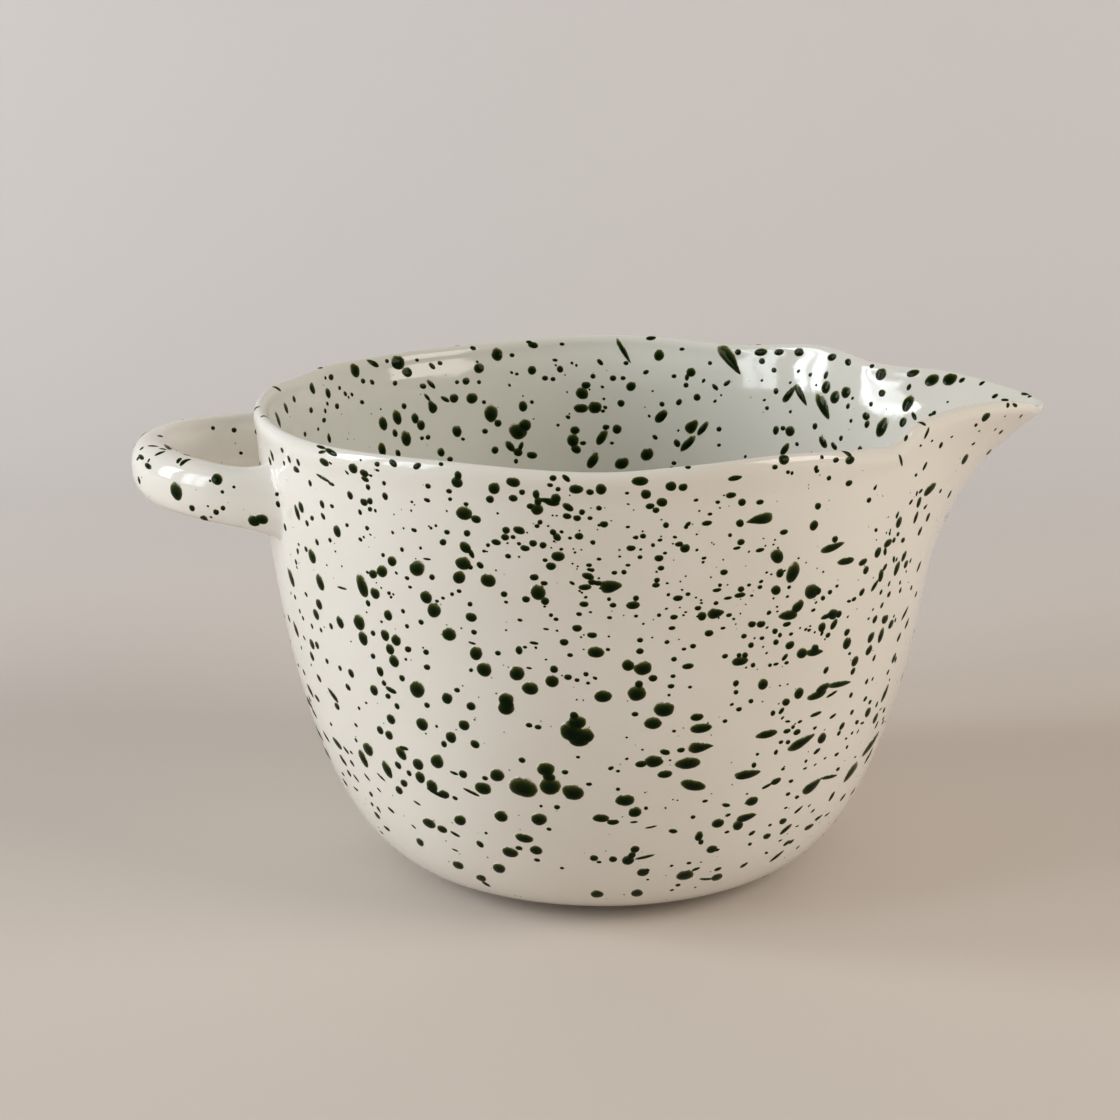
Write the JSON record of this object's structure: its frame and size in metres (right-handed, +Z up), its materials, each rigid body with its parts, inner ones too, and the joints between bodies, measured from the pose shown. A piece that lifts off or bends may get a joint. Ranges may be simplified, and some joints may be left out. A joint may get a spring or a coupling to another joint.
{
  "type": "batter bowl",
  "caption": "Deep round mixing bowl for batter, with a pouring spout pinched from its rim and a loop handle opposite, in speckled glazed stoneware.",
  "frame": {"origin": "on the bowl's axis at the surface it stands on, the middle of the foot ring's lower face", "axes": "+X along the pouring spout, away from the handle; +Z up along the bowl's axis; +Y across the bowl, to the left of someone who looks along the spout"},
  "size_m": [0.2434, 0.1833, 0.1298],
  "materials": {
    "cream_glaze": "glossy warm white glaze over stoneware, slightly creamy on the outside",
    "bare_clay": "unglazed fired stoneware, dry and finely gritty",
    "green_glaze": "dark green splattered glaze, glossy, standing a little proud in domed drops"
  },
  "bodies": {
    "root": {"bowl_body": "cream_glaze", "foot_ring": "bare_clay", "rolled_rim": "cream_glaze", "pouring_spout": "cream_glaze", "handle_strap": "cream_glaze", "handle_root_front": "cream_glaze", "handle_root_back": "cream_glaze"}
  },
  "joints": []
}
